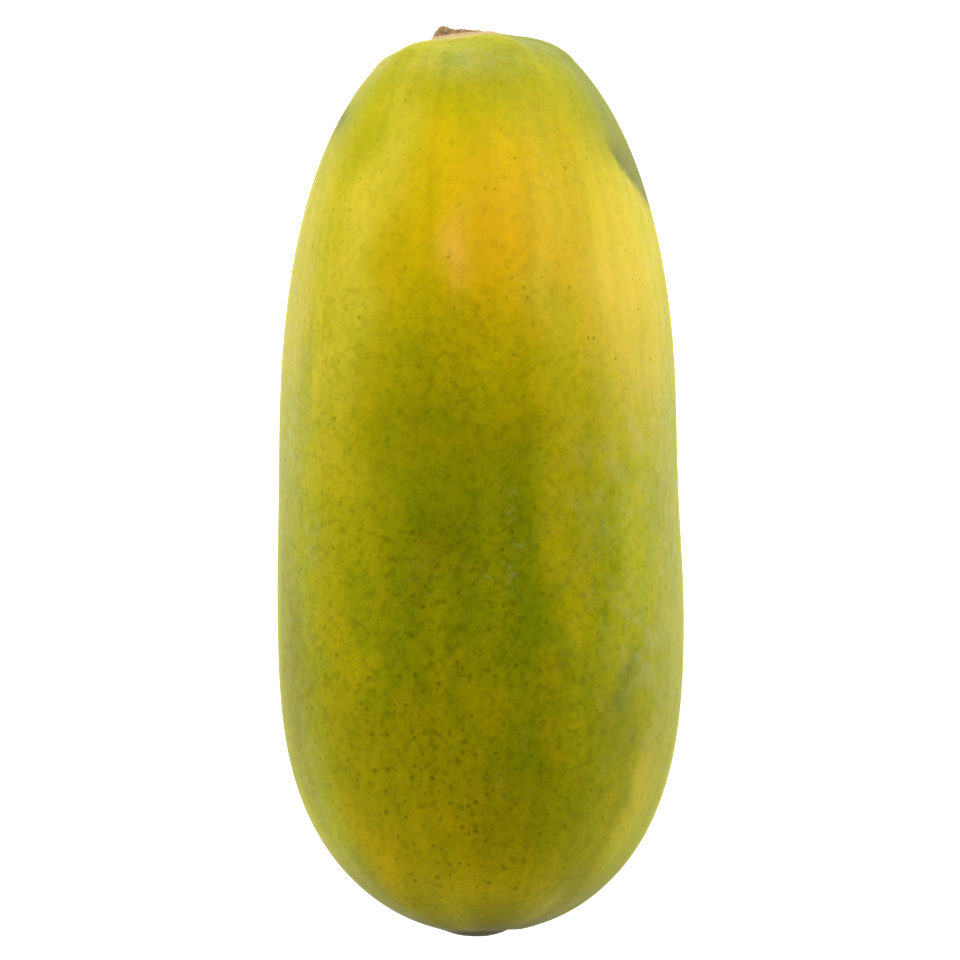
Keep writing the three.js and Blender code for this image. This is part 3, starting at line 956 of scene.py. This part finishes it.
def stub_marks(own):
    """Where fibres run, up the stalk and out of its middle, and how torn each point is, from 0 to 1.

    A point is the more torn the higher it is and the further in from a radius of 10.5 mm. The splinter's tip,
    above 2.9 mm, is bleached, so it counts as less torn.
    """
    radius = np.hypot(own[:, 0], own[:, 2])
    outwards = own[:, (0, 2)] / np.maximum(radius, 0.01)[:, None]
    fibres = np.hstack([FIBRES_ROUND * outwards, FIBRES_ALONG * (own[:, 1] - radius)[:, None]])
    torn = smooth(own[:, 1] + 0.8 * (10.5 - radius), 1.5, 2.5)
    return fibres, torn * (1 - 0.45 * smooth(own[:, 1], 2.9, 3.8))


laid_stub = seat_stub(own_points)
fibre_lines, torn_share = stub_marks(own_points)
print("the stub's highest point along the fruit is at", round(float(laid_stub[:, 1].max()), 1), "mm")

# %% [markdown]
# ## Dry torn wood
#
# The stub is soft stalk wood that dried within days: pale tan where the bark is whole and brown where it
# tore. A wood texture would show rings, which a stalk has none of. So a ramp of browns is read at a place
# that the tear and two noises decide, crumbs of 0.8 mm and the fibres. The same two noises raise the surface.

# %% The stub's material
# Cells in a millimetre, because the noise is read on the stub's own millimetres.
CRUMBS = 1.3
# From whole bark to the deepest tear, and at the end the bleached ends of fibres.
BROWNS = [(0.0, "#cdb385"), (0.26, "#bf9f6c"), (0.45, "#a78559"), (0.62, "#8a6a46"), (0.8, "#684f33"),
          (1.0, "#8f7c62")]


def make_stalk():
    """Dry, torn stalk: to the eye it is rough, dull and fibrous, with hardly a highlight."""
    material = bpy.data.materials.new("dry_torn_stalk")
    material.use_nodes = True
    tree = material.node_tree
    tree.nodes.clear()
    own = add_node(tree, "ShaderNodeAttribute", attribute_name="own").outputs["Vector"]
    lines = add_node(tree, "ShaderNodeAttribute", attribute_name="fibres").outputs["Vector"]
    torn = add_node(tree, "ShaderNodeAttribute", attribute_name="torn").outputs["Fac"]
    crumbs = add_node(tree, "ShaderNodeTexNoise", {"Scale": CRUMBS, "Detail": 5, "Roughness": 0.65},
                      {"Vector": own}).outputs["Fac"]
    fibre = add_node(tree, "ShaderNodeTexNoise", {"Scale": 1.0, "Detail": 5, "Roughness": 0.7},
                     {"Vector": lines}).outputs["Fac"]
    height = add_node(tree, "ShaderNodeMath", {1: 0.6}, {0: crumbs, 2: fibre},
                      operation="MULTIPLY_ADD").outputs["Value"]
    mottled = add_node(tree, "ShaderNodeMath", {1: 1.2, 2: -0.84}, {0: height}, operation="MULTIPLY_ADD")
    darkness = add_node(tree, "ShaderNodeMath", {1: 0.42}, {0: torn, 2: mottled.outputs["Value"]},
                        operation="MULTIPLY_ADD")
    ramp = add_node(tree, "ShaderNodeValToRGB", None, {"Fac": darkness.outputs["Value"]})
    stops = ramp.color_ramp.elements
    stops.remove(stops[0])
    stops[0].position = BROWNS[0][0]
    stops[0].color = linear(BROWNS[0][1])
    for position, brown in BROWNS[1:]:
        stops.new(position).color = linear(brown)
    bump = add_node(tree, "ShaderNodeBump", {"Strength": 0.8, "Distance": 0.8 * MM}, {"Height": height})
    shader = add_node(tree, "ShaderNodeBsdfPrincipled", {"Roughness": 0.85, "Specular IOR Level": 0.3},
                      {"Base Color": ramp.outputs["Color"], "Normal": bump.outputs["Normal"]})
    add_node(tree, "ShaderNodeOutputMaterial", None, {"Surface": shader.outputs["BSDF"]})
    return material


stub = add_mesh("stalk_stub_torn", laid_stub * MM, closed_faces(STUB_RINGS, STUB_AROUND), make_stalk(),
                own=own_points, fibres=fibre_lines, torn=torn_share)
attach(stub, "root")
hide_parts("stalk_stub")

# %% [markdown]
# ## The table
#
# The fruit lies on a white table that is lit from below, as a photographer's light table is. A lamp under
# glass would do, but a white surface that glows a little gives the same even white and no noise.

# %% The table
TABLE_HALF = 4.0


def make_table():
    """A wide table of opal acrylic: to the eye it is matt, white and a little brighter than lit paper."""
    material = bpy.data.materials.new("white_light_table")
    material.use_nodes = True
    shader = material.node_tree.nodes["Principled BSDF"]
    shader.inputs["Base Color"].default_value = linear("#f4f4f4")
    shader.inputs["Roughness"].default_value = 0.9
    shader.inputs["Emission Color"].default_value = linear("#ffffff")
    shader.inputs["Emission Strength"].default_value = 0.7
    corners = TABLE_HALF * np.array([(-1, -1, 0), (1, -1, 0), (1, 1, 0), (-1, 1, 0)])
    return add_mesh("table", corners, [(0, 1, 2, 3)], material)


make_table()

# %% [markdown]
# ## The light
#
# Round the table stands a white tent that is open at the top, where the camera looks in. So the flanks are
# bright, the top is darker and no shadow has an edge. Many lamps could build that up, but the world behind
# everything does it at once: a ramp from a dim zenith to a bright horizon. One large lamp at the stalk's end
# lifts that side.

# %% World and lamp
def light_world(zenith, horizon, blossom_share):
    """A world whose brightness falls from the horizon to the zenith, and towards -Y."""
    world = bpy.data.worlds.new("tent")
    bpy.context.scene.world = world
    world.use_nodes = True
    tree = world.node_tree
    tree.nodes.clear()
    direction = add_node(tree, "ShaderNodeTexCoord").outputs["Generated"]
    way = add_node(tree, "ShaderNodeSeparateXYZ", None, {"Vector": direction})
    level = add_node(tree, "ShaderNodeMapRange", {"From Min": 0.0, "From Max": 0.9, "To Min": horizon,
                     "To Max": zenith}, {"Value": way.outputs["Z"]})
    side = add_node(tree, "ShaderNodeMapRange", {"From Min": -1.0, "From Max": -0.3, "To Min": blossom_share,
                    "To Max": 1.0}, {"Value": way.outputs["Y"]}, interpolation_type="SMOOTHSTEP")
    strength = add_node(tree, "ShaderNodeMath", None, {0: level.outputs["Result"], 1: side.outputs["Result"]},
                        operation="MULTIPLY")
    background = add_node(tree, "ShaderNodeBackground", {"Color": linear("#ffffff")},
                          {"Strength": strength.outputs["Value"]})
    add_node(tree, "ShaderNodeOutputWorld", None, {"Surface": background.outputs["Background"]})


def add_lamp(name, place, aim, size, power):
    """A rectangular area lamp at place that faces aim, in metres and watts. The camera doesn't see it."""
    data = bpy.data.lights.new(name, "AREA")
    data.shape = "RECTANGLE"
    data.size, data.size_y = size
    data.energy = power
    lamp = bpy.data.objects.new(name, data)
    bpy.context.scene.collection.objects.link(lamp)
    lamp.location = place
    way = np.array(aim) - np.array(place)
    lamp.rotation_euler = (math.atan2(math.hypot(way[0], way[1]), -way[2]), 0, math.atan2(-way[0], way[1]))
    lamp.visible_camera = False
    print(name, "is a lamp of", power, "W,", round(float(np.linalg.norm(way)), 2), "m away")


light_world(zenith=0.15, horizon=1.0, blossom_share=0.35)
add_lamp("stalk_end", place=(0.1, 1.2, 0.7), aim=(0, 0.05, 0.06), size=(1.0, 0.6), power=6.0)

# %% [markdown]
# ## The camera
#
# The fruit is seen from straight above and from far away through a long lens, so that it is drawn with
# hardly any perspective, as in a catalogue. An orthographic camera would have none at all, but a real
# photograph has a little. The plain Standard view keeps the yellows as bright as they are painted.

# %% The camera
# Metres: the picture's width at the height of the belly's middle, that height, and the picture's middle on Y.
VIEW_WIDTH = 0.2957
BELLY_HEIGHT = 0.06
VIEW_MIDDLE = 0.0054
# Millimetres.
LENS = 300
SENSOR = 36
camera_data = bpy.data.cameras.new("camera")
camera_data.lens = LENS
camera_data.sensor_width = SENSOR
camera = bpy.data.objects.new("camera", camera_data)
bpy.context.scene.collection.objects.link(camera)
camera.location = (0, VIEW_MIDDLE, BELLY_HEIGHT + VIEW_WIDTH * LENS / SENSOR)
bpy.context.scene.camera = camera
bpy.context.scene.view_settings.view_transform = "Standard"
bpy.context.scene.view_settings.exposure = 0.5
print("the camera is", round(camera.location.z, 3), "m up")
